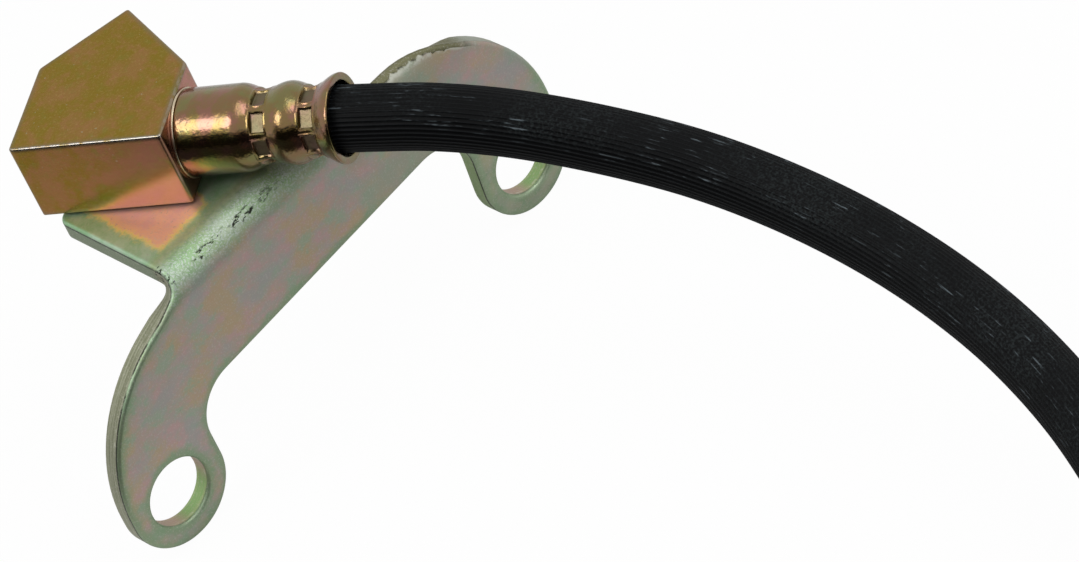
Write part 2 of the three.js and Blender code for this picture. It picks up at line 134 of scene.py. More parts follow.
def grid_faces(rows, columns, closed=False):
    """Quads between neighbouring points of a grid stored row by row, closed round its columns or not."""
    row = np.arange(rows - 1)[:, None]
    column = np.arange(columns if closed else columns - 1)[None, :]
    after = (column + 1) % columns
    corners = [row * columns + column, row * columns + after]
    corners += [(row + 1) * columns + after, (row + 1) * columns + column]
    return np.stack(corners, axis=-1).reshape(-1, 4)


def fan_faces(rows, columns, first):
    """Triangles that close a grid's first or last row on its centre, a point stored after the grid."""
    start = 0 if first else (rows - 1) * columns
    centre = rows * columns + (0 if first else 1)
    here = start + np.arange(columns)
    after = start + (np.arange(columns) + 1) % columns
    order = [after, here] if first else [here, after]
    return np.stack([*order, np.full(columns, centre)], axis=1)


def put(name, patches, sharp=32.0):
    """One object from patches of (points, list of face arrays, {attribute: values}), in metres.

    Patches are welded where they meet, faces are turned outwards, and edges bent by more than
    sharp degrees stay crisp.
    """
    points = np.vstack([patch[0] for patch in patches])
    faces = []
    first = 0
    for patch in patches:
        for group in patch[1]:
            faces += (group + first).tolist()
        first += len(patch[0])
    mesh = bpy.data.meshes.new(name)
    mesh.from_pydata(points.tolist(), [], faces)
    for attribute in sorted({key for patch in patches for key in patch[2]}):
        values = [patch[2].get(attribute, np.zeros(len(patch[0]))) for patch in patches]
        made = mesh.attributes.new(attribute, "FLOAT", "POINT")
        made.data.foreach_set("value", np.concatenate(values).astype(np.float32))
    work = bmesh.new()
    work.from_mesh(mesh)
    bmesh.ops.remove_doubles(work, verts=work.verts, dist=WELD)
    bmesh.ops.recalc_face_normals(work, faces=work.faces)
    work.to_mesh(mesh)
    work.free()
    mesh.shade_smooth()
    mesh.set_sharp_from_angle(angle=math.radians(sharp))
    piece = bpy.data.objects.new(name, mesh)
    bpy.context.scene.collection.objects.link(piece)
    return piece


class Socket:
    """A shader socket. Python arithmetic on it adds Math nodes to its own material."""

    def __init__(self, tree, link=None):
        self.tree = tree
        self.link = link

    def node(self, kind, inputs=None, output=0, **settings):
        """Any other node: its settings first, then its sockets' values or links by name or place."""
        made = self.tree.nodes.new(kind)
        for key, value in settings.items():
            setattr(made, key, value)
        for key, value in (inputs or {}).items():
            if isinstance(value, Socket):
                self.tree.links.new(value.link, made.inputs[key])
            else:
                made.inputs[key].default_value = value
        return Socket(self.tree, made.outputs[output])

    def math(self, operation, *values):
        """A Math node on the values given, which are numbers or sockets."""
        return self.node("ShaderNodeMath", dict(enumerate(values)), operation=operation)

    def __add__(self, other):
        return self.math("ADD", self, other)

    def __sub__(self, other):
        return self.math("SUBTRACT", self, other)

    def __rsub__(self, other):
        return self.math("SUBTRACT", other, self)

    def __mul__(self, other):
        return self.math("MULTIPLY", self, other)

    __radd__ = __add__
    __rmul__ = __mul__

    def step(self, low, high):
        """0 below low, 1 above high, and a smooth rise between them."""
        inputs = {"Value": self, "From Min": low, "From Max": high}
        return self.node("ShaderNodeMapRange", inputs, interpolation_type="SMOOTHSTEP")

    def mix(self, low, high):
        """From colour low to colour high as this socket goes from 0 to 1."""
        inputs = {0: self, 6: opaque(low), 7: opaque(high)}
        return self.node("ShaderNodeMix", inputs, 2, data_type="RGBA", clamp_factor=True)

    def noise(self, scale, detail=3.0, roughness=0.5, stretch=(1, 1, 1), shift=(0, 0, 0)):
        """Cloudy noise on this vector, in waves to its unit, drawn out where stretch is small."""
        turned = self.node("ShaderNodeMapping", {"Vector": self, "Location": shift, "Scale": stretch})
        inputs = {"Vector": turned, "Scale": scale, "Detail": detail, "Roughness": roughness}
        return self.node("ShaderNodeTexNoise", inputs)


def opaque(colour):
    """A colour of three numbers with full alpha, or a socket as it is."""
    return colour if isinstance(colour, Socket) else (*colour, 1)


def coat(material_name):
    """A new material: its start socket, its place on Object coordinates, and its shader node."""
    material = bpy.data.materials.new(material_name)
    material.use_nodes = True
    start = Socket(material.node_tree)
    place = start.node("ShaderNodeTexCoord", output=3)
    return material, start, place, material.node_tree.nodes["Principled BSDF"]


def carried(start, *names):
    """The mesh's attributes of these names, as sockets."""
    return [start.node("ShaderNodeAttribute", output=2, attribute_name=name) for name in names]


def fine_bump(start, height, strength=0.25, depth=0.00003):
    """A normal tipped by a pattern of heights: how strongly, and how deep the pattern is in metres."""
    return start.node("ShaderNodeBump", {"Height": height, "Strength": strength, "Distance": depth})


def wire(shader, **sockets):
    """Sets the shader's sockets, named with _ for a space, to values or links."""
    for key, value in sockets.items():
        target = shader.inputs[key.replace("_", " ")]
        if isinstance(value, Socket):
            value.tree.links.new(value.link, target)
        else:
            target.default_value = value


route, route_length = smooth_route(HOSE_ROUTE, ROUTE_ROWS)
ahead = unit(np.gradient(route, axis=0))
hose_line = np.vstack([
    route[0] - HOSE_INSET * ahead[0],
    route,
    route[-1] + HOSE_INSET * ahead[-1],
])
hose_length = route_length + 2 * HOSE_INSET
ahead = unit(np.gradient(hose_line, axis=0))
aside = unit(np.cross(ahead, [0, 0, 1]))
above = np.cross(aside, ahead)


def ribbed_tube(line, across, over, radius, ribs, height):
    """Ring of radius less a shallow groove beside each rib, carried along the line square to it.

    The groove is height times the square root of the rib wave, so that crests are narrow.
    """
    turn = np.linspace(0, 2 * np.pi, ribs * RIB_POINTS, endpoint=False)
    wave = np.sqrt(np.abs(np.sin(turn * ribs / 2)))
    reach = radius - height * wave
    ring = across[:, None, :] * (reach * np.cos(turn))[None, :, None]
    ring = ring + over[:, None, :] * (reach * np.sin(turn))[None, :, None]
    return line[:, None, :] + ring, turn


tube, turn = ribbed_tube(hose_line, aside, above, HOSE_RADIUS, HOSE_RIBS, RIB_HEIGHT)
rows, columns = tube.shape[:2]
tube_points = np.vstack([tube.reshape(-1, 3), hose_line[:1], hose_line[-1:]])
along = np.repeat(np.linspace(0, hose_length, rows), columns)
crest = np.tile(1 - np.sqrt(np.abs(np.sin(turn * HOSE_RIBS / 2))), rows)
top = np.tile(np.sin(turn), rows)
hose = put("rubber_hose", [(
    tube_points,
    [grid_faces(rows, columns, closed=True), *(fan_faces(rows, columns, end) for end in (True, False))],
    {
        "along": np.append(along, [0, hose_length]),
        "crest": np.append(crest, [0, 0]),
        "top": np.append(top, [0, 0]),
        "around": np.append(np.tile(turn, rows), [0, 0]),
    },
)], sharp=80.0)


def black_rubber():
    """Black rubber: thin grey lines painted on the rib crests below as highlights, and above them dust and
    short scuffs that follow the ribs.
    """
    material, start, place, shader = coat("black_rubber")
    crest, top, along, around = carried(start, "crest", "top", "along", "around")
    rib = around * (HOSE_RIBS / (2 * math.pi))
    lane = start.node("ShaderNodeCombineXYZ", {0: along * 190, 1: rib, 2: 0.0})
    strokes = lane.noise(1.0, 3.0, 0.7)
    long_strokes = lane.noise(0.22, 2.0, 0.5, shift=(5, 2, 0))
    patches = place.noise(45, 2.0)
    grain = place.noise(2600, 2.0)
    upper = top.step(0.25, 0.75)
    # Painted highlight: thin grey lines along the rib crests, fainter on the upper side.
    line = crest.step(0.45, 0.95)
    colour = (line * (1 - upper * 0.75)).mix((0.0012, 0.0014, 0.0017), (0.018, 0.020, 0.022))
    dust = upper * grain.step(0.42, 0.72) * patches.step(0.3, 0.7)
    colour = (dust * 0.7).mix(colour, (0.024, 0.030, 0.031))
    scuff = strokes.step(0.55, 0.66) * long_strokes.step(0.42, 0.58)
    scuff = scuff * crest.step(0.05, 0.5) * top.step(0.1, 0.5)
    colour = (scuff * 0.85).mix(colour, (0.12, 0.145, 0.16))
    wire(shader, Base_Color=colour, Roughness=grain * 0.2 + 0.40, Normal=fine_bump(start, grain))
    wire(shader, Specular_IOR_Level=0.08)
    return material


hose.data.materials.append(black_rubber())
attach(hose, "root")
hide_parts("hose")


# Shells. A steel cup at each end, zinc plated with a gold and pink sheen. It is pushed over the
# hose and squeezed twice between eight jaws, which leave a ring of flat marks in each waist and
# a bulge between them, and its mouth is left flared.
SHELL_WALL = 1.15
SHELL_BASE = 0.42  # bears on the collar
SHELL_OUTSIDE = 6.75
SHELL_MOUTH = 6.95
SHELL_END = 25.6
SHELL_POINTS = 240  # round it
LIP_HEEL = (24.0, 5.3)  # where the lip's inner rounding points to
WAISTS = ((13.5, 5.55), (21.4, 5.3))  # station and outside radius of each
BULGE_RADIUS = 6.4
WAIST_REACH = 4.2
JAWS = 8
JAW_TURN = math.radians(132)
JAW_HALF_LENGTH = 1.05
JAW_HALF_WIDTH = 1.45
JAW_BITE = 0.4
JAW_BLEND = 0.22
PUSHED_UP = 0.09  # height of the rim round a mark, and how far out it stands and spreads
PUSHED_OUT = 0.24
PUSHED_SPREAD = 0.15
NECK_HOLE = 3.1
OUTLET = np.array([-4.1, -0.763, 49.0])
OUTLET_TURN = math.radians(-58)
END_FACE = np.array([-136.2, -211.4, 8.0])


def placed(points, at, turn=0.0):
    """Millimetre points drawn along +X, turned about Z and moved to a place, in metres."""
    c, s = math.cos(turn), math.sin(turn)
    return (points @ np.array([[c, s, 0], [-s, c, 0], [0, 0, 1]]) + at) / 1000


def eased(a, b, t):
    """From a to b along half a cosine wave."""
    return a + (b - a) * (0.5 - 0.5 * np.cos(np.pi * np.clip(t, 0, 1)))


def shell_outside(station):
    """Straight cup, then half cosine waves down to the first waist, up, down again and out to the mouth."""
    (first, waist1), (second, waist2) = WAISTS
    middle = (first + second) / 2
    radius = eased(SHELL_OUTSIDE, waist1, (station - first + WAIST_REACH) / WAIST_REACH)
    swell = eased(waist1, BULGE_RADIUS, (station - first) / (middle - first))
    shrink = eased(BULGE_RADIUS, waist2, (station - middle) / (second - middle))
    flare = eased(waist2, SHELL_MOUTH, (station - second) / (SHELL_END - second))
    for start, wave in ((first, swell), (middle, shrink), (second, flare)):
        radius = np.where(station > start, wave, radius)
    return radius


def jaw_marks(station, turn, radius):
    """Where a jaw bit, the round wall becomes a flat: the waist less the bite, over the cosine of the turn.

    Metal pushed aside stands up as a low rim around each flat.
    """
    off = (turn - JAW_TURN + np.pi / JAWS) % (2 * np.pi / JAWS) - np.pi / JAWS
    pressed = np.zeros(radius.shape)
    for middle, waist in WAISTS:
        flat = (waist - JAW_BITE) / np.cos(off)
        past_end = np.abs(station - middle) - JAW_HALF_LENGTH
        past_side = np.abs(flat * np.sin(off)) - JAW_HALF_WIDTH
        outside = np.maximum(past_end, past_side)
        inside = np.clip(0.5 - outside / JAW_BLEND, 0, 1)
        inside = inside * inside * (3 - 2 * inside)
        radius = radius + inside * (np.minimum(flat, radius) - radius)
        radius = radius + PUSHED_UP * np.exp(-(((outside - PUSHED_OUT) / PUSHED_SPREAD) ** 2))
        pressed = np.maximum(pressed, inside)
    return radius, pressed


def rounded(corner, before, after, radius, steps=5):
    """Arc of a profile round a corner, from a point on its first side to one on its second."""
    corner, before, after = (np.array(p, float) for p in (corner, before, after))
    a, b = unit(before - corner), unit(after - corner)
    half = math.acos(np.clip(a @ b, -1, 1)) / 2
    middle = corner + unit(a + b) * radius / math.sin(half)
    start = corner + a * radius / math.tan(half) - middle
    end = corner + b * radius / math.tan(half) - middle
    t = np.linspace(0, 1, steps)[:, None]
    sweep = math.acos(np.clip(start @ end / radius**2, -1, 1))
    return middle + (np.sin((1 - t) * sweep) * start + np.sin(t * sweep) * end) / math.sin(sweep)


def crimped_shell():
    """Grid of the cup's profile and the turn about its axis, with what its material follows.

    The profile goes out along the wall, round the lip, and back inside.
    """
    corner = rounded((SHELL_BASE, SHELL_OUTSIDE), (SHELL_BASE, 0), (SHELL_END, SHELL_OUTSIDE), 0.3)
    straight = [(s, SHELL_OUTSIDE) for s in np.linspace(1, WAISTS[0][0] - WAIST_REACH, 16)]
    wavy = np.linspace(WAISTS[0][0] - WAIST_REACH, SHELL_END - 0.3, 150)[1:]
    outside = [(SHELL_BASE, NECK_HOLE), *corner, *straight, *zip(wavy, shell_outside(wavy))]
    lip_out = rounded((SHELL_END, SHELL_MOUTH), outside[-1], (SHELL_END, 0), 0.2)
    lip_in = rounded((SHELL_END, SHELL_MOUTH - SHELL_WALL), (SHELL_END, SHELL_MOUTH), LIP_HEEL, 0.25)
    back = np.linspace(SHELL_END - 0.35, WAISTS[0][0] - WAIST_REACH, 40)
    inside = [*zip(back, shell_outside(back) - SHELL_WALL)]
    floor = SHELL_BASE + SHELL_WALL
    inside += [(floor, SHELL_OUTSIDE - SHELL_WALL), (floor, NECK_HOLE), (SHELL_BASE, NECK_HOLE)]
    profile = np.array([*outside, *lip_out, *lip_in, *inside])
    turn = np.linspace(0, 2 * np.pi, SHELL_POINTS, endpoint=False)
    station = np.repeat(profile[:, :1], len(turn), axis=1)
    radius = np.repeat(profile[:, 1:], len(turn), axis=1)
    marked = len(outside)
    pressed = np.zeros(station.shape)
    radius[:marked], pressed[:marked] = jaw_marks(station[:marked], turn[None, :], radius[:marked])
    points = np.stack([station, radius * np.cos(turn), radius * np.sin(turn)], axis=-1)
    inner = np.zeros(station.shape)
    inner[marked + len(lip_out) + len(lip_in):] = 1
    values = {"inner": inner.reshape(-1), "pressed": pressed.reshape(-1)}
    return points.reshape(-1, 3), grid_faces(*station.shape, closed=True), values


def plated_shell():
    """Zinc plate over steel with a fine orange peel.

    It is olive gold, clouded with rose and with green, dull where a jaw pressed it, and darkened inside the
    cup as painted shade.
    """
    material, start, place, shader = coat("plated_shell")
    inner, pressed = carried(start, "inner", "pressed")
    drift = place.noise(130, 3.0, 0.55)
    tint = place.noise(300, 3.0, 0.5, shift=(3, 1, 2))
    colour = drift.step(0.38, 0.60).mix((0.220, 0.125, 0.060), (0.195, 0.138, 0.040))
    colour = (tint.step(0.50, 0.66) * 0.7).mix(colour, (0.27, 0.115, 0.095))
    colour = (tint.step(0.50, 0.34) * 0.6).mix(colour, (0.170, 0.185, 0.060))
    colour = (pressed * 0.6).mix(colour, (0.12, 0.105, 0.085))
    # Painted shade: the inside of the cup is darkened.
    colour = inner.mix(colour, (0.10, 0.09, 0.06))
    peel = place.noise(1700, 3.0, 0.6)
    roughness = peel * 0.10 + pressed * 0.2 + 0.12
    wire(shader, Base_Color=colour, Metallic=1.0, Roughness=roughness)
    wire(shader, Normal=fine_bump(start, peel, 0.7, 0.00008))
    wire(shader, Coat_Weight=(1 - pressed) * 0.4, Coat_Roughness=0.12)
    return material


shell_points, shell_faces, shell_values = crimped_shell()
shell_finish = plated_shell()
for name, at, turned in (("block_shell", OUTLET, OUTLET_TURN), ("end_shell", END_FACE, 0.0)):
    piece = put(f"crimped_{name}", [(placed(shell_points, at, turned), [shell_faces], shell_values)])
    piece.data.materials.append(shell_finish)
    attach(piece, "root")
    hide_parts(name)


# Nipples. A turned steel insert is pressed into each fitting. Its thin collar is all that shows,
# between the fitting's face and the shell; its stem runs on inside the hose.
COLLAR_RADIUS = 6.93
COLLAR_FACE = 6.2  # radius to which its flat face reaches
COLLAR_START, COLLAR_END = 0.03, 0.41  # from the fitting's face
SHANK_RADIUS, SHANK_END = 2.8, 3.1
STEM_RADIUS, STEM_END = 2.2, 21.6
NIPPLE_POINTS = 96  # round it
back_rim = (COLLAR_START, COLLAR_RADIUS)
front_rim = (COLLAR_END, COLLAR_RADIUS)
nipple_profile = np.array([
    (COLLAR_START, 0.0),
    (COLLAR_START, COLLAR_FACE),
    *rounded(back_rim, (COLLAR_START, COLLAR_FACE), front_rim, 0.08),
    *rounded(front_rim, back_rim, (COLLAR_END, COLLAR_FACE), 0.12),
    (COLLAR_END, SHANK_RADIUS),
    (SHANK_END, SHANK_RADIUS),
    (SHANK_END, STEM_RADIUS),
    (STEM_END, STEM_RADIUS),
    (STEM_END, 0.0),
])


def turned_piece(profile, facets):
    """Surface of revolution about X: each profile point carried round, with shared points on the axis."""
    turn = np.linspace(0, 2 * np.pi, facets, endpoint=False)
    points = np.stack([
        np.repeat(profile[:, :1], facets, axis=1),
        profile[:, 1:] * np.cos(turn),
        profile[:, 1:] * np.sin(turn),
    ], axis=-1)
    return points.reshape(-1, 3), grid_faces(len(profile), facets, closed=True)


def plated_collar():
    """Pale gold plate on a turned ring, with the lathe's fine lines."""
    material, start, place, shader = coat("plated_collar")
    tint = place.noise(300, 2.0)
    colour = tint.step(0.4, 0.65).mix((0.60, 0.52, 0.36), (0.58, 0.44, 0.36))
    wire(shader, Base_Color=colour, Metallic=1.0, Roughness=tint * 0.15 + 0.2)
    return material


nipple_points, nipple_faces = turned_piece(nipple_profile, NIPPLE_POINTS)
collar_finish = plated_collar()
for name, at, turned in (("block_nipple", OUTLET, OUTLET_TURN), ("end_nipple", END_FACE, 0.0)):
    piece = put(f"turned_{name}", [(placed(nipple_points, at, turned), [nipple_faces], {})])
    piece.data.materials.append(collar_finish)
    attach(piece, "root")
    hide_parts(name)


# Junction block. Cut from a five-sided steel bar, drilled and tapped in its two slanted sides for
# the brake tubes, brazed to the bracket's tab, and zinc plated gold. Its upper edges are painted
# bright, part worn plating and part painted highlight, one of them most, and the edge over the
# hose's outlet is more rounded than the rest.
BLOCK_CORNERS = [(0, -7.9), (0, 7.9), (-13.65, 21.55), (-25.4, 9.8), (-25.4, -7.9)]
BLOCK_CORNER_RADII = [0.5, 1.2, 0.5, 1.2, 0.5]
BLOCK_HALF = 7.1
BLOCK_EDGE = 0.28
OUTLET_EDGE = 0.38
BLOCK_HEART = np.array([-12.7, 3.5])
PORTS = ((1, 1, 6.5), (2, 3, 6.0))  # each port's side, the corner it is set out from, and how far
PORT_RADIUS = 4.35
PORT_CHAMFER = 0.6
PORT_DEPTH = 7.6
PORT_RINGS = 11  # between a side's border and the port's rim
THREAD_PITCH = 1.0
THREAD_DEPTH = 0.45
THREAD_ROWS = 90
THREAD_RELIEF = 0.8  # from the last thread to the floor
THREAD_FADE = 0.4
SEAT_HEIGHT = 1.6
SEAT_TIP = 2.1
PASSAGE_RADIUS = 1.6
PASSAGE_DEPTH = 3.0  # below the floor


def ramp(values, low, high):
    """0 at low, 1 at high, straight between them and held beyond."""
    return np.clip((values - low) / (high - low), 0, 1)


def outline_of(corners, radii, spacing, arc_steps=7):
    """Closed outline whose corners are arcs tangent to their sides.

    It comes with where each straight side starts and ends. Arcs too long for the side between
    them both shrink until they share it.
    """
    corners = np.array(corners, float)
    before, after = np.roll(corners, 1, axis=0), np.roll(corners, -1, axis=0)
    cosine = np.sum(unit(before - corners) * unit(after - corners), axis=1)
    reach = np.array(radii) / np.tan(np.arccos(cosine) / 2)
    side = np.linalg.norm(after - corners, axis=1) / (reach + np.roll(reach, -1))
    radii = np.array(radii) * np.minimum(1, np.minimum(side, np.roll(side, 1)))
    arcs = [rounded(*ends, radius, arc_steps) for *ends, radius in zip(corners, before, after, radii)]
    points, sides = [], []
    for arc, following in zip(arcs, arcs[1:] + arcs[:1]):
        points.extend(arc)
        here, there = arc[-1], following[0]
        if np.linalg.norm(there - here) < 1e-3:
            points.pop()
            sides.append(None)
            continue
        steps = max(2, int(np.ceil(np.linalg.norm(there - here) / spacing)))
        first = len(points) - 1
        points.extend(here + (there - here) * t for t in np.linspace(0, 1, steps + 1)[1:-1])
        sides.append((first, first + steps))
    return np.array(points), sides


def outward(outline):
    """Unit normals of a closed outline, pointing away from what it encloses."""
    before, after = np.roll(outline, 1, axis=0), np.roll(outline, -1, axis=0)
    tangent = unit(unit(outline - before) + unit(after - outline))
    area = np.sum(outline[:, 0] * after[:, 1] - after[:, 0] * outline[:, 1])
    return np.stack([tangent[:, 1], -tangent[:, 0]], axis=1) * (1 if area > 0 else -1)


def tapped_hole(turn):
    """Rows of (depth, radius) at each turn: chamfer, thread, floor, cone seat and passage.

    The thread's groove is a triangle wave of the depth along a helix, faded out at both ends.
    """
    last = PORT_DEPTH - THREAD_RELIEF
    thread = np.linspace(PORT_CHAMFER, last, THREAD_ROWS)[:, None]
    phase = (thread / THREAD_PITCH - turn[None, :] / (2 * np.pi)) % 1.0
    groove = THREAD_DEPTH * (1 - np.abs(2 * phase - 1))
    fade = ramp(thread, PORT_CHAMFER, PORT_CHAMFER + THREAD_FADE) * ramp(thread, last, last - THREAD_FADE)
    bottom = np.array([
        (PORT_DEPTH, PORT_RADIUS),
        (PORT_DEPTH, PORT_RADIUS - 0.4),
        (PORT_DEPTH - SEAT_HEIGHT, SEAT_TIP),
        (PORT_DEPTH - SEAT_HEIGHT, PASSAGE_RADIUS),
        (PORT_DEPTH + PASSAGE_DEPTH, PASSAGE_RADIUS),
        (PORT_DEPTH + PASSAGE_DEPTH, 0.0),
    ])
    plain = np.ones((1, len(turn)))
    mouth = (PORT_RADIUS + PORT_CHAMFER) * plain
    depth = np.vstack([0 * plain, thread * plain, bottom[:, :1] * plain])
    radius = np.vstack([mouth, PORT_RADIUS + groove * fade, bottom[:, 1:] * plain])
    return depth, radius


def block_patches():
    """The block's skin: a fan out to the edge, a quarter round, the walls, and the same again below.

    Each slanted side is left open and closed by a ring between its own border and the port's rim.
    """
    outline, sides = outline_of(BLOCK_CORNERS, BLOCK_CORNER_RADII, 0.6)
    normal = outward(outline)
    x, y = outline.T
    softness = ramp(y, -7.0, -3.5) * ramp(y, 9.5, 8.3) * (x > -1.0)
    edge = BLOCK_EDGE + (OUTLET_EDGE - BLOCK_EDGE) * softness

    # The top from its heart outwards, then over the edge.
    rows, heights, rim = [], [], []
    for t in np.concatenate([np.linspace(0.0, 0.9, 10), [0.93, 0.96, 0.98, 0.99]]):
        inner = BLOCK_HEART + t * (outline - normal * edge[:, None] - BLOCK_HEART)
        rows.append(inner)
        heights.append(np.full(len(outline), BLOCK_HALF))
        rim.append((1 - t) * np.linalg.norm(outline - BLOCK_HEART, axis=1))
    for angle in np.linspace(0, np.pi / 2, 6):
        rows.append(outline - normal * (edge * (1 - math.sin(angle)))[:, None])
        heights.append(BLOCK_HALF - edge * (1 - math.cos(angle)))
        rim.append(np.zeros(len(outline)))

    # The walls, and the same again below.
    top = np.array(heights)
    wall = np.linspace(1, -1, 22)[1:-1, None] * (BLOCK_HALF - edge)[None, :]
    rows = [*rows, *([outline] * len(wall)), *rows[::-1]]
    heights = np.vstack([top, wall, -top[::-1]])
    rim = np.vstack([rim, BLOCK_HALF - np.abs(wall), rim[::-1]])
    points = np.stack([np.array(rows)[..., 0], np.array(rows)[..., 1], heights], axis=-1)

    # Each slanted side gives way to its port.
    count = len(outline)
    faces = grid_faces(len(points), count, closed=True).reshape(len(points) - 1, count, 4)
    open_rows = slice(len(top) - 1, len(top) + len(wall))
    keep = np.ones(faces.shape[:2], bool)
    corners = np.array(BLOCK_CORNERS, float)
    patches = []
    for side, corner, step in PORTS:
        first, last = sides[side]
        keep[open_rows, first:last] = False
        other = corners[side + 1 if corner == side else side]
        centre = corners[corner] + unit(other - corners[corner]) * step
        patches.append(port_patch(points, open_rows, first, last, np.append(centre, 0.0)))

    # On the walls the upright edges count as rims too.
    nearest = np.min(np.linalg.norm(outline[:, None, :] - corners[None], axis=2), axis=1)
    rim = np.minimum(rim, np.where(np.arange(len(rim))[:, None] >= len(top), nearest[None, :], 99))
    rim[len(top) + len(wall):] = rim[:len(top)][::-1]

    # Bright grey is painted on the upper edges, part worn plating and part painted highlight: a little more
    # on the outlet's edge than most, and most of all on the long side's edge.
    rubbed = ramp(np.abs(x), 0.5, 0.2) * (np.abs(y) < 9.5)
    rubbed = np.maximum(0.15 + 0.25 * rubbed, ramp(y, -7.0, -7.5))
    rubbed = rubbed * (points[..., 2] > 0)

    # The sides grow rosier towards the outlet's, and low on one corner of the long side a pale patch is a
    # painted reflection of the tab.
    side = np.zeros(rim.shape)
    side[len(top) - 1:len(top) + len(wall) + 1] = 0.35 + 0.5 * ramp(x, -25, 0)
    side[:, x > -0.05] *= 1.18
    pale = (0.378 * x - 0.3 - points[..., 2]) / 1.6 + 0.4
    pale = np.clip(pale, 0, 1) * (y < -7.3) * (side > 0)
    values = {"rim": rim, "side": side, "rubbed": rubbed, "pale": pale}
    values = {name: value.reshape(-1) for name, value in values.items()}
    return [(points.reshape(-1, 3), [faces[keep]], values), *patches]


def port_patch(points, open_rows, first, last, centre):
    """Ring from a side's border to the port's rim, then the tapped hole itself."""
    frame_rows = np.arange(open_rows.start, open_rows.stop + 1)
    columns = np.arange(first, last + 1) % points.shape[1]
    border = np.vstack([
        points[frame_rows[0], columns],
        points[frame_rows[1:], columns[-1]],
        points[frame_rows[-1], columns[::-1][1:]],
        points[frame_rows[::-1][1:-1], columns[0]],
    ])
    start, end = points[frame_rows[0], columns[0]], points[frame_rows[0], columns[-1]]
    along = unit((end - start) * [1, 1, 0])
    out = np.array([along[1], -along[0], 0.0])
    out = out if out[:2] @ (start[:2] - BLOCK_HEART) > 0 else -out
    upright = np.array([0.0, 0.0, 1.0])
    turn = np.arctan2(border[:, 2], (border - centre) @ along)
    spoke = np.cos(turn)[:, None] * along + np.sin(turn)[:, None] * upright
    circle = centre + spoke * (PORT_RADIUS + PORT_CHAMFER)
    ring = [border + (circle - border) * t for t in np.linspace(0, 1, PORT_RINGS + 1)[:-1]]
    depth, radius = tapped_hole(turn)
    hole = centre - depth[..., None] * out + radius[..., None] * spoke
    patch = np.vstack([np.array(ring), hole])
    rim = np.full(patch.shape[:2], 3.0)
    rim[:len(ring)] = np.linalg.norm(patch[:len(ring)] - border[None], axis=2)
    values = {"rim": rim.reshape(-1), "side": np.full(rim.size, 0.7)}
    return patch.reshape(-1, 3), [grid_faces(*patch.shape[:2], closed=True)], values


def plated_block():
    """Gold zinc plate: olive with rose clouds, rosier on the sides, with fine pale specks.

    The edges are dull. On the upper edges bright grey is painted, part worn plating and part painted
    highlight, and low on the long side a pale rose patch is a painted reflection of the tab.
    """
    material, start, place, shader = coat("plated_block")
    rim, side, rubbed, pale = carried(start, "rim", "side", "rubbed", "pale")
    cloud = place.noise(210, 4.0, 0.65)
    small = place.noise(520, 3.0, 0.6, shift=(0.4, 0.1, 0.3))
    grain = place.noise(2600, 2.0, 0.6)
    olive = cloud.step(0.42, 0.66).mix((0.235, 0.155, 0.016), (0.285, 0.155, 0.042))
    rose = cloud.step(0.38, 0.62).mix((0.27, 0.15, 0.020), (0.34, 0.145, 0.060))
    rose = (side.step(0.5, 0.85) * 0.8).mix(rose, (0.30, 0.118, 0.080))
    colour = side.step(0.0, 0.8).mix(olive, rose)
    colour = side.step(0.90, 0.98).mix(colour, (0.46, 0.20, 0.16))
    colour = (small.step(0.50, 0.70) * 0.35).mix(colour, (0.35, 0.15, 0.075))
    colour = (small.step(0.48, 0.28) * 0.4).mix(colour, (0.20, 0.19, 0.030))
    # Painted reflection of the tab: pale rose low on one corner of the long side.
    colour = pale.mix(colour, (0.45, 0.29, 0.22))
    speck = place.noise(1300, 2.0, 0.5, shift=(0.2, 0.7, 0.1)).step(0.70, 0.76)
    colour = (speck * 0.5).mix(colour, (0.40, 0.40, 0.28))
    colour = (grain.step(0.50, 0.75) * 0.35).mix(colour, (0.40, 0.29, 0.09))
    colour = (rim.step(0.9, 0.0) * 0.35).mix(colour, (0.17, 0.165, 0.12))
    # Bright grey on the upper edges: part worn plating, part painted highlight.
    silver_wear_and_sheen = rubbed * rim.step(0.10, 0.0) * place.noise(900, 3.0).step(0.30, 0.60)
    colour = (silver_wear_and_sheen * 0.75).mix(colour, (0.40, 0.39, 0.38))
    wire(shader, Base_Color=colour, Metallic=1.0, Roughness=grain * 0.14 + 0.16)
    wire(shader, Normal=fine_bump(start, grain))
    return material


block = put("drilled_block", [
    (placed(points, OUTLET, OUTLET_TURN), faces, values) for points, faces, values in block_patches()
], sharp=40.0)
block.data.materials.append(plated_block())
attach(block, "root")
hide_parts("junction_block")


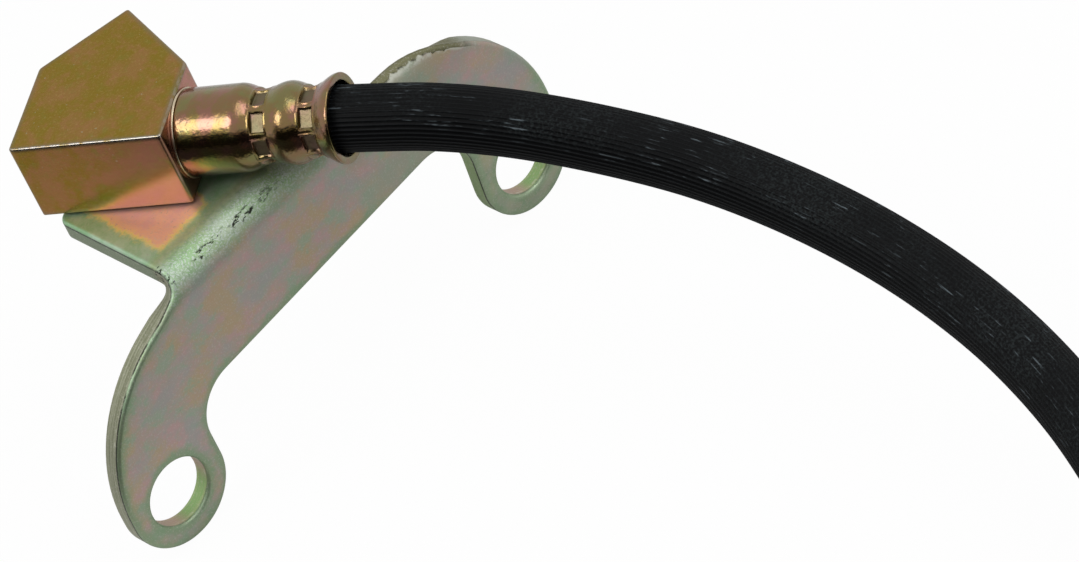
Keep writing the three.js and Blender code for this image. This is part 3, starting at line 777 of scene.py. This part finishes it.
# Bracket. Stamped from 3.2 mm sheet steel and folded once: the plate with its two bolt ears
# stands upright and the tab lies back under the block. The punched edge is rolled over at the
# front and sheared lower down, the fold is stretched pale with painted highlight specks, and the
# whole is zinc plated.
SHEET = 3.2
BEND_INSIDE = 1.8
BEND_OUTSIDE = SHEET + BEND_INSIDE
BEND_LENGTH = math.pi / 2 * (BEND_INSIDE + SHEET / 2)
BOLT_X = 39.0
BOLT_DROP = 27.4
BOLT_HOLE = 5.65  # radius
EAR = 9.2
EAR_TIP = -BOLT_DROP - EAR
EAR_TAPER = 1.6
WAIST_RIGHT = -12.3
TAB_LEFT = -23.6
TAB_RIGHT = TAB_LEFT + 30
TAB_TOP = BEND_LENGTH + 23.7
EAR_LEAN = math.atan2(EAR_TAPER, WAIST_RIGHT - EAR_TIP)
BRACKET_OUTLINE = [  # on the flat blank: across, up from the fold line, and the corner's radius
    (TAB_LEFT, TAB_TOP, 2.5),
    (TAB_LEFT, 2.0, 3.0),
    (-BOLT_X - EAR, -7.4, 26.6),
    (-BOLT_X - EAR, EAR_TIP, EAR),
    (-BOLT_X + EAR, EAR_TIP, EAR),
    (-BOLT_X + EAR, -16.0, 7.6),
    (BOLT_X - EAR + EAR_TAPER, WAIST_RIGHT, 7.6),
    (BOLT_X - EAR, EAR_TIP, EAR * math.tan(math.pi / 4 - EAR_LEAN / 2)),
    (BOLT_X + EAR, EAR_TIP, EAR),
    (BOLT_X + EAR, 3.9, 24.0),
    (TAB_RIGHT, 3.6, 3.0),
    (TAB_RIGHT, TAB_TOP, 2.5),
]
PLATE_FRONT = np.array([0.0, -14.063, 41.6])
ROLL_OVER = 0.6  # radius of the punched edge on the plate's front
BURR_EDGE = 0.15  # and on its back
WALL_ROWS = [1.0, 1.6, 2.2, 2.7]  # depths between the two rounded edges
ARC_STEPS = 22
HOLE_POINTS = 96
CAP_SPACING = 0.9
CAP_GAP = 0.75  # least distance from the rim to the net's own points
FOLD_ROWS = 15


def folded(flat, depth):
    """Where a point of the blank lies after folding.

    Below the fold line it stays in the plate, across the fold it follows a circle about the
    bend's axis, and beyond it runs back along the tab. Depth is counted from the front.
    """
    rise = flat[:, 1]
    angle = np.clip(rise / BEND_LENGTH, 0, 1) * np.pi / 2
    radius = BEND_OUTSIDE - depth
    y = BEND_OUTSIDE - radius * np.cos(angle) + np.maximum(rise - BEND_LENGTH, 0)
    z = -BEND_OUTSIDE + radius * np.sin(angle) + np.minimum(rise, 0)
    return (np.stack([flat[:, 0], y, z], axis=1) + PLATE_FRONT) / 1000


def within(points, loop):
    """Which points lie inside a closed loop, by counting the sides that a ray to the right crosses."""
    after = np.roll(loop, -1, axis=0)
    x, y = points[:, :1], points[:, 1:]
    crosses = (loop[None, :, 1] > y) != (after[None, :, 1] > y)
    climb = after[:, 1] - loop[:, 1]
    slope = (after[:, 0] - loop[:, 0]) / np.where(climb == 0, 1e-9, climb)
    left = x < loop[None, :, 0] + slope[None, :] * (y - loop[None, :, 1])
    return np.sum(crosses & left, axis=1) % 2 == 1


def sheet_patches():
    """The folded sheet's skin: a wall round each outline with its rolled edge, and the broad faces.

    Each face is one net of triangles over the flat blank, with extra rows across the fold.
    """
    corners = [corner[:2] for corner in BRACKET_OUTLINE]
    outer, _ = outline_of(corners, [corner[2] for corner in BRACKET_OUTLINE], CAP_SPACING, ARC_STEPS)
    turn = np.linspace(0, 2 * np.pi, HOLE_POINTS, endpoint=False)
    spokes = np.stack([np.cos(turn), np.sin(turn)], axis=1)
    loops = [(outer, outward(outer))]
    loops += [(spokes * BOLT_HOLE + [x, -BOLT_DROP], -spokes) for x in (-BOLT_X, BOLT_X)]
    quarter = np.linspace(0, np.pi / 2, 6)
    insets = np.concatenate([ROLL_OVER * (1 - np.sin(quarter)), BURR_EDGE * (1 - np.sin(quarter[::-1]))])
    depths = np.concatenate([
        ROLL_OVER * (1 - np.cos(quarter)),
        SHEET - BURR_EDGE * (1 - np.cos(quarter[::-1])),
    ])
    depths = np.insert(depths, len(quarter), WALL_ROWS)
    insets = np.insert(insets, len(quarter), np.zeros(len(WALL_ROWS)))
    patches = []
    for loop, normal in loops:
        rings = [folded(loop - normal * inset, depth) for inset, depth in zip(insets, depths)]
        depth = np.repeat(depths, len(loop))
        patches.append((np.concatenate(rings), [grid_faces(len(depths), len(loop), closed=True)], {
            "cut": np.where(depth < SHEET, depth, 0.0),
            "rise": np.tile(loop[:, 1], len(depths)),
            "bored": np.full(len(depth), float(loop is not outer)),
        }))
    for depth, inset in ((0.0, insets[0]), (SHEET, insets[-1])):
        borders = [loop - normal * inset for loop, normal in loops]
        patches.append(net(borders, depth, loops))
    return patches


def net(borders, depth, loops):
    """Triangles over the blank between its outer border and its holes, folded at one depth.

    Each point keeps its distance to the nearest rim, its rise, and how far inland it is on the tab.
    """
    low, high = borders[0].min(axis=0), borders[0].max(axis=0)
    rises = np.concatenate([
        np.arange(low[1] + 0.5, -0.3, CAP_SPACING),
        np.linspace(0, BEND_LENGTH, FOLD_ROWS),
        np.arange(BEND_LENGTH + CAP_SPACING, high[1], CAP_SPACING),
    ])
    columns = np.arange(low[0] + 0.5, high[0], CAP_SPACING)
    inner = np.stack(np.meshgrid(columns, rises), axis=-1).reshape(-1, 2)
    rim_points = np.vstack([loop for loop, _ in loops])
    inner = inner[np.min(np.linalg.norm(inner[:, None] - rim_points[None], axis=2), axis=1) > CAP_GAP]
    inner = inner[within(inner, borders[0])]
    for hole in borders[1:]:
        inner = inner[~within(inner, hole)]
    points = np.vstack([*borders, inner])
    edges, first = [], 0
    for border in borders:
        here = first + np.arange(len(border))
        edges += np.stack([here, np.roll(here, -1)], axis=1).tolist()
        first += len(border)
    flat, _, faces, *_ = delaunay_2d_cdt(points.tolist(), edges, [], 0, 1e-7)
    flat, faces = np.array(flat), np.array(faces)
    middle = flat[faces].mean(axis=1)
    keep = within(middle, borders[0])
    for hole in borders[1:]:
        keep &= ~within(middle, hole)
    faces = faces[keep]
    rim = np.min(np.linalg.norm(flat[:, None] - rim_points[None], axis=2), axis=1)
    inland = np.clip(np.minimum(rim, 0.8 * (flat[:, 1] - BEND_LENGTH) + 1.6), 0, None)
    inland = inland * ramp(flat[:, 0], -7.0, -10.0)
    return folded(flat, depth), [faces], {"rim": rim, "rise": flat[:, 1], "inland": inland}


def plated_sheet():
    """Zinc plate on rolled sheet, whose tint follows how thickly it took.

    The plate is grey mauve with rose, ochre and green clouds. Rises and distances from the rim
    are in millimetres, and places across the bracket are in metres.
    """
    material, start, place, shader = coat("plated_sheet")
    rim, cut, rise, inland, bored = carried(start, "rim", "cut", "rise", "inland", "bored")
    across = start.node("ShaderNodeSeparateXYZ", {0: place})
    streak = place.noise(230, 6.0, 0.7, stretch=(0.7, 0.7, 0.9))
    blot = place.noise(330, 6.0, 0.7, stretch=(0.7, 0.7, 1.0), shift=(0.3, 0, 0.8))
    warm = place.noise(140, 5.0, 0.7, stretch=(0.7, 0.7, 0.9), shift=(0.9, 0.4, 0.1))
    nick = place.noise(700, 3.0, 0.6)
    fleck = place.noise(1700, 3.0, 0.7)
    grain = place.noise(3400, 2.0, 0.6)
    colour = streak.step(0.36, 0.64).mix((0.40, 0.365, 0.335), (0.43, 0.35, 0.29))
    colour = (blot.step(0.48, 0.62) * 0.75).mix(colour, (0.51, 0.33, 0.325))
    colour = (warm.step(0.48, 0.62) * 0.75).mix(colour, (0.46, 0.36, 0.21))
    colour = (blot.step(0.48, 0.36) * 0.75).mix(colour, (0.30, 0.40, 0.295))
    colour = (warm.step(0.48, 0.36) * 0.6).mix(colour, (0.345, 0.355, 0.345))

    # Green gathers along the rim, less so on the far shoulder.
    shoulder = across.step(0.009, 0.012) * rise.step(-16, -9)
    wander = rim + blot * 3 - 1.5
    colour = (wander.step(2.4, 0.3) * (0.8 - shoulder * 0.6)).mix(colour, (0.235, 0.35, 0.205))

    # The tab goes from green at its rim through yellow and orange to rose inland.
    tab = rise.step(BEND_LENGTH - 0.5, BEND_LENGTH + 1.5)
    depth = inland + streak * 3.5 + fleck * 2.0 - 2.7
    tinted = blot.step(0.35, 0.65).mix((0.27, 0.46, 0.25), (0.42, 0.56, 0.40))
    tinted = depth.step(2.4, 3.8).mix(tinted, (0.82, 0.68, 0.22))
    tinted = depth.step(3.2, 4.4).mix(tinted, (0.80, 0.48, 0.33))
    tinted = (depth.step(4.2, 6.0) * blot.step(0.36, 0.60)).mix(tinted, (0.74, 0.42, 0.385))
    colour = tab.mix(colour, tinted)

    # The fold is stretched to a pale green with dark flecks, and on its lower half pale specks are painted
    # as highlights.
    bend = rise.step(0.2, 2.4) * rise.step(BEND_LENGTH + 2.5, BEND_LENGTH - 1.0) * (1 - shoulder)
    stretched = streak.step(0.38, 0.62).mix((0.30, 0.48, 0.24), (0.40, 0.50, 0.38))
    stretched = rise.step(BEND_LENGTH - 1.5, BEND_LENGTH + 1.5).mix(stretched, (0.40, 0.46, 0.17))
    colour = (bend * 0.85).mix(colour, stretched)
    colour = (bend * fleck.step(0.42, 0.60) * 0.6).mix(colour, (0.22, 0.31, 0.19))
    # Painted highlight: pale specks low on the fold.
    painted_fold_glint = bend * rise.step(5.4, 3.6) * grain.step(0.50, 0.60)
    colour = (painted_fold_glint * 0.6).mix(colour, (0.60, 0.68, 0.66))
    far_ear = across.step(0.022, 0.034) * rise.step(-13, -20)
    colour = (far_ear * blot.step(0.3, 0.7) * 0.7).mix(colour, (0.36, 0.46, 0.31))

    # The punched edge is olive with fine lines along it, and greener on the far ear.
    strip = cut.step(0.45, 0.75)
    drawn_out = start.node("ShaderNodeCombineXYZ", {0: cut * 3.5, 1: rise * 0.1, 2: blot * 1.5})
    lines = drawn_out.noise(1.0, 3.0, 0.6)
    edge = lines.step(0.35, 0.65).mix((0.20, 0.21, 0.13), (0.34, 0.35, 0.25))
    edge = (far_ear * 0.8).mix(edge, (0.27, 0.42, 0.17))
    edge = tab.mix(edge, (0.20, 0.25, 0.16))

    # The wall of a bolt hole is rose above and on the left, and green between.
    beside = across.math("MODULO", across * 1000 + 2 * BOLT_X, 2 * BOLT_X) - BOLT_X
    rosy = rise.math("MAXIMUM", rise.step(-30.5, -27.0), beside.step(0.5, -2.5))
    bore = rosy.mix((0.22, 0.40, 0.14), (0.42, 0.28, 0.23))
    bore = (lines.step(0.3, 0.7) * 0.5).mix(bore, (0.46, 0.46, 0.26))
    colour = strip.mix(colour, bored.mix(edge, bore))

    # On the far shoulder the punch left an olive strip. A black line runs along its inland side, and beyond
    # it a ragged pale line is a painted highlight of the rolled edge.
    crown = across.step(0.024, 0.029) * rise.step(-6, -3)
    colour = (strip * crown * 0.8).mix(colour, (0.35, 0.38, 0.32))
    width = across.step(0.041, 0.025) * 1.25
    punched = shoulder * across.step(0.040, 0.036) * rise.step(-5, -2)
    beyond = rim + blot * 0.3 - 0.15 - width
    near = shoulder * across.step(0.036, 0.026) * beyond.step(7.0, 2.0)
    colour = (near * 0.75).mix(colour, warm.step(0.3, 0.7).mix((0.29, 0.36, 0.25), (0.34, 0.37, 0.30)))
    olive = lines.step(0.3, 0.7).mix((0.13, 0.125, 0.06), (0.20, 0.20, 0.12))
    colour = (punched * beyond.step(0.12, -0.12)).mix(colour, olive)
    # Painted highlight: a ragged pale line along the rolled edge.
    painted_roll_highlight = punched * beyond.step(-0.10, 0.10) * beyond.step(0.75, 0.25) * nick.step(0.36, 0.54)
    colour = (painted_roll_highlight * 0.75).mix(colour, (0.56, 0.57, 0.50))
    black_line = punched * beyond.step(-0.20, -0.08) * beyond.step(0.14, 0.04) * nick.step(0.50, 0.42)
    colour = (black_line * 0.7).mix(colour, (0.03, 0.03, 0.02))

    # A dark line runs under the rolled corner, with pale flecks below it painted as highlights.
    under_roll_line = cut.step(0.35, 0.5) * cut.step(0.85, 0.65) * warm.step(0.36, 0.50)
    under_roll_line = under_roll_line * (1 - bored * 0.6) * (1 - crown * 0.7)
    colour = (under_roll_line * 0.9).mix(colour, (0.02, 0.02, 0.015))
    # Painted highlight: pale flecks on the sheared edge.
    pale_edge_highlight = cut.step(0.75, 0.9) * cut.step(1.35, 1.0) * nick.step(0.50, 0.64) * blot.step(0.40, 0.60)
    colour = (pale_edge_highlight * 0.6).mix(colour, (0.62, 0.62, 0.50))
    colour = (fleck.step(0.62, 0.74) * 0.5).mix(colour, (0.15, 0.14, 0.11))
    colour = (grain.step(0.52, 0.70) * 0.3).mix(colour, (0.60, 0.57, 0.52))

    # Black pits lie in a row low on the fold, and nicks mark its left end.
    row = rise.step(1.9, 2.4) * rise.step(3.5, 3.0)
    row = row * across.step(-0.0195, -0.0180) * across.step(0.002, -0.006)
    pits = place.noise(2100, 2.0, 0.6, stretch=(0.4, 1, 1), shift=(0.13, 0, 0)).step(0.55, 0.60)
    pits = pits * place.noise(150, 1.0, shift=(0.31, 0.2, 0)).step(0.42, 0.50) * row
    nicks = rim.step(0.9, 0.3) * rise.step(2.0, 2.8) * rise.step(6.2, 5.2) * across.step(-0.0195, -0.0215)
    pits = pits.math("MAXIMUM", pits, nicks * fleck.step(0.53, 0.60))
    colour = (pits * 0.95).mix(colour, (0.008, 0.007, 0.005))
    roughness = grain * 0.16 + bend * 0.1 + punched * 0.12 + 0.38
    wire(shader, Base_Color=colour, Metallic=0.8, Roughness=roughness)
    wire(shader, Normal=fine_bump(start, fleck + grain * 0.5 - pits * 2, 0.4, 0.00005))
    return material


bracket = put("folded_bracket", sheet_patches(), sharp=48.0)
bracket.data.materials.append(plated_sheet())
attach(bracket, "root")
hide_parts("mounting_bracket")


# End fitting. Turned from hexagon bar: the flats take a spanner, the neck behind them has a
# groove for a retaining clip, and the mouth is tapped for the tube that goes on to the wheel.
HEX_APOTHEM = 8.0
HEX_CORNER = HEX_APOTHEM / math.cos(math.pi / 6)
HEX_LENGTH = 9.0
HEX_SHOULDER, HEX_DROP = 0.7, 1.1  # how far the rounding of its corners runs, and how deep it goes
NECK_RADIUS = 6.3
NECK_FILLET = 0.3
FITTING_END = 22.0
FITTING_CHAMFER = 0.7
FITTING_POINTS = 180  # round it
GROOVE = (11.4, 13.6, 0.9)  # where the clip's groove starts and ends, and its depth
GROOVE_EDGE = 0.15


def end_fitting_points():
    """Rows along the axis, then the tapped hole back inside.

    The radius is the lesser of the hexagon's and the turning's. At both ends of the hexagon the
    turning drops as the square root of the way to the end.
    """
    turn = np.linspace(0, 2 * np.pi, FITTING_POINTS, endpoint=False)
    hexagon = HEX_APOTHEM / np.cos((turn + np.pi / 6) % (np.pi / 3) - np.pi / 6)
    groove_start, groove_end, groove_depth = GROOVE
    low = HEX_CORNER - HEX_DROP
    way = np.linspace(0.05, HEX_SHOULDER, 8)
    drop = [*zip(way, low + HEX_DROP * np.sqrt(way / HEX_SHOULDER))]
    turned = np.array([
        (0.0, 0.0),
        (0.0, low),
        *drop,
        *[(s, HEX_CORNER) for s in np.linspace(1, HEX_LENGTH - 1, 14)],
        *[(HEX_LENGTH - s, radius) for s, radius in drop[::-1]],
        (HEX_LENGTH, low),
        (HEX_LENGTH, NECK_RADIUS + NECK_FILLET),
        (HEX_LENGTH + NECK_FILLET, NECK_RADIUS),
        (groove_start - GROOVE_EDGE, NECK_RADIUS),
        (groove_start, NECK_RADIUS - GROOVE_EDGE),
        (groove_start, NECK_RADIUS - groove_depth),
        (groove_end, NECK_RADIUS - groove_depth),
        (groove_end, NECK_RADIUS - GROOVE_EDGE),
        (groove_end + GROOVE_EDGE, NECK_RADIUS),
        (FITTING_END - FITTING_CHAMFER, NECK_RADIUS),
        (FITTING_END, NECK_RADIUS - FITTING_CHAMFER),
    ])
    depth, hole = tapped_hole(turn)
    station = np.vstack([np.repeat(turned[:, :1], len(turn), axis=1), FITTING_END - depth])
    radius = np.vstack([np.minimum(turned[:, 1:], hexagon[None, :]), hole])
    points = np.stack([-station, radius * np.sin(turn), radius * np.cos(turn)], axis=-1)
    return points.reshape(-1, 3), grid_faces(*station.shape, closed=True)


def plated_fitting():
    """Gold zinc plate over turned and sawn steel, clouded like the block."""
    material, start, place, shader = coat("plated_fitting")
    cloud = place.noise(150, 3.0, 0.6)
    grain = place.noise(2400, 2.0, 0.6)
    colour = cloud.step(0.40, 0.60).mix((0.36, 0.22, 0.12), (0.33, 0.26, 0.08))
    colour = (grain.step(0.6, 0.8) * 0.3).mix(colour, (0.5, 0.42, 0.25))
    wire(shader, Base_Color=colour, Metallic=1.0, Roughness=grain * 0.16 + 0.2)
    wire(shader, Normal=fine_bump(start, grain))
    return material


fitting_points, fitting_faces = end_fitting_points()
fitting = put("hex_fitting", [(placed(fitting_points, END_FACE), [fitting_faces], {})], sharp=25.0)
fitting.data.materials.append(plated_fitting())
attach(fitting, "root")
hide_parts("end_fitting")


# Studio. White paper under a white surround, lit by two large soft lamps high on the left and the
# right. On the left the polished metal sees a dark wall above the paper's far end, which gives
# round pieces their black band.
FLOOR_HALF = 3.0
FLOOR_LEVEL = -0.0002
PAPER_GLOW = 0.97  # how much of the floor that the camera sees is plain white
PAPER_END = 0.070  # how far out on the dark side the metal still sees paper
DARK_SIDE = (-0.75, -0.66, 0.0)
ROOM_LIGHT = 0.50  # of the surround on matt pieces
ROOM_SHINE = 0.38  # how much brighter the metal sees it
WALL_DARK = 0.87  # how much darker the metal sees the dark wall
LAMP_DISTANCE = 0.8
LAMP_AIM = np.array([0.0, -0.02, 0.03])


def toward_dark(vector):
    """How far a direction or a place lies towards the dark side."""
    return vector.node("ShaderNodeVectorMath", {0: vector, 1: DARK_SIDE}, 1, operation="DOT_PRODUCT")


def white_paper():
    """Matt white paper whose picture is mostly plain white, so that only a faint shadow is left on it."""
    material, start, place, shader = coat("white_paper")
    mirrored = start.node("ShaderNodeLightPath", output="Is Glossy Ray")
    beyond = toward_dark(place).step(PAPER_END - 0.004, PAPER_END + 0.006) * mirrored
    wire(shader, Base_Color=beyond.mix((0.82, 0.82, 0.82), (0.01, 0.01, 0.01)), Roughness=0.9)
    plain = start.node("ShaderNodeEmission", {"Color": (1, 1, 1, 1), "Strength": 1.0})
    seen = start.node("ShaderNodeLightPath") * PAPER_GLOW
    output = material.node_tree.nodes["Material Output"]
    both = start.node("ShaderNodeMixShader", {0: seen, 1: Socket(start.tree, shader.outputs[0]), 2: plain})
    start.tree.links.new(both.link, output.inputs["Surface"])
    return material


paper = bpy.data.meshes.new("floor")
signs = ((-1, -1), (1, -1), (1, 1), (-1, 1))
paper.from_pydata([(x * FLOOR_HALF, y * FLOOR_HALF, FLOOR_LEVEL) for x, y in signs], [], [[0, 1, 2, 3]])
floor = bpy.data.objects.new("floor", paper)
floor.data.materials.append(white_paper())
bpy.context.scene.collection.objects.link(floor)

world = bpy.data.worlds.new("studio")
bpy.context.scene.world = world
world.use_nodes = True
sky = Socket(world.node_tree)
looked, through, mirrored = (
    sky.node("ShaderNodeLightPath", output=f"Is {kind} Ray") for kind in ("Camera", "Transmission", "Glossy")
)
heading = sky.node("ShaderNodeTexCoord", output=0)
height = sky.node("ShaderNodeSeparateXYZ", {0: heading}, 2)
wall = toward_dark(heading).step(0.42, 0.62) * height.step(0.56, 0.46)
lit = mirrored * (ROOM_SHINE - wall * WALL_DARK) + ROOM_LIGHT
strength = lit + looked.math("MAXIMUM", looked, through) * (1 - lit)
world.node_tree.links.new(strength.link, world.node_tree.nodes["Background"].inputs["Strength"])
world.node_tree.nodes["Background"].inputs["Color"].default_value = (1, 1, 1, 1)


def soft_lamp(name, toward, size, power):
    """A square soft lamp in a direction from the object's middle, turned to face it."""
    toward = unit(np.array(toward))
    side = unit(np.cross([0, 0, 1], toward))
    over = np.cross(toward, side)
    lamp = bpy.data.objects.new(name, bpy.data.lights.new(name, "AREA"))
    lamp.data.size = size
    lamp.data.energy = power
    place = LAMP_AIM + LAMP_DISTANCE * toward
    lamp.matrix_world = Matrix([[*row, at] for *row, at in zip(side, over, toward, place)] + [[0, 0, 0, 1]])
    bpy.context.scene.collection.objects.link(lamp)


soft_lamp("left_lamp", (-0.583, 0.072, 0.809), 0.34, 2.0)
soft_lamp("right_lamp", (0.365, -0.327, 0.873), 0.46, 1.6)

bpy.context.scene.view_settings.view_transform = "Standard"
